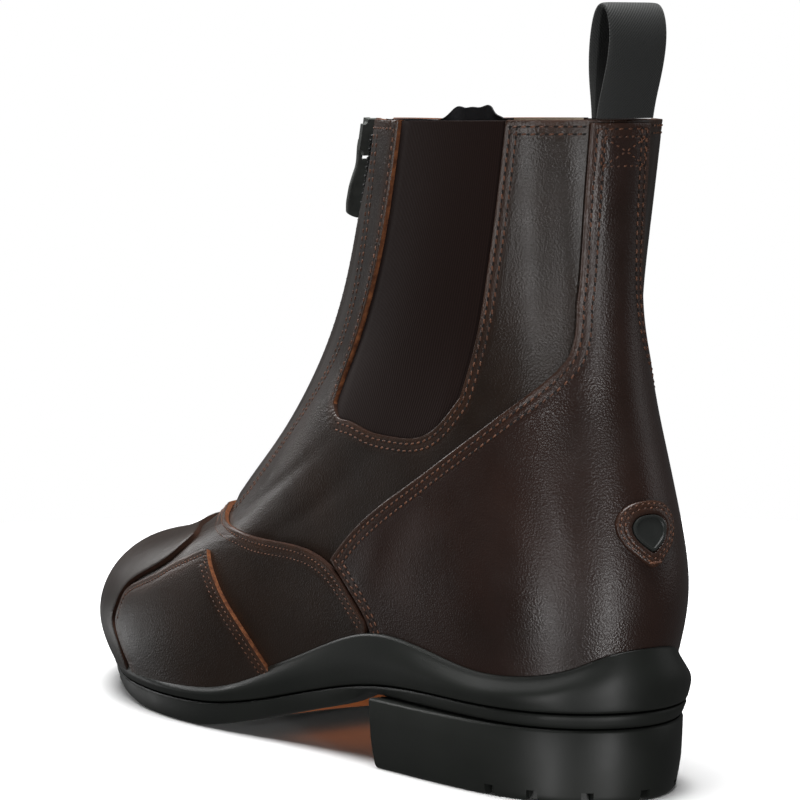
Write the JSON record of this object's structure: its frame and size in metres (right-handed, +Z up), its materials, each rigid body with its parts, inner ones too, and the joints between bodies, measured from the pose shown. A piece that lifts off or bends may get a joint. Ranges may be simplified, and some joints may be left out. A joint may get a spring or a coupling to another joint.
{
  "type": "jodhpur boot",
  "caption": "Ankle-high leather riding boot for the left foot with a front zip, elastic side gussets, a back pull loop and a low-heeled rubber sole.",
  "frame": {"origin": "middle of the heel's ground face, on the floor", "axes": "+X towards the toe, +Y to the wearer's left, which is the outer side of this left boot, +Z up"},
  "size_m": [0.2803, 0.1018, 0.2119],
  "materials": {
    "leather": "oiled, soft sheen",
    "elastic": "ribbed, matte",
    "rubber": "satin",
    "insert": "matte",
    "sock": "matte",
    "zip_tape": "woven, matte",
    "zip_metal": "dark satin",
    "ribbon": "woven, matte"
  },
  "bodies": {
    "boot": {"upper": "leather", "gusset_lateral": "elastic", "gusset_medial": "elastic", "vamp": "leather", "counter": "leather", "toe_cap": "leather", "guard_lateral": "leather", "guard_medial": "leather", "sole_cup": "rubber", "outsole": "rubber", "waist_insert": "insert", "heel_block": "rubber", "insole": "sock", "zip_chain": "zip_tape", "zip_guard": "zip_tape", "zip_slider": "zip_metal", "pull_loop": "ribbon", "heel_badge": "leather", "heel_badge_inset": "rubber"},
    "pull_tab": {"zip_pull_tab": "zip_metal"}
  },
  "joints": [
    {"name": "tab_hinge", "type": "hinge", "parent": "boot", "child": "pull_tab", "pos_m": [0.09185, -0.00084, 0.17426], "axis": [-0.0026, -0.9999, 0.0098], "range_deg": [0, 150]}
  ]
}
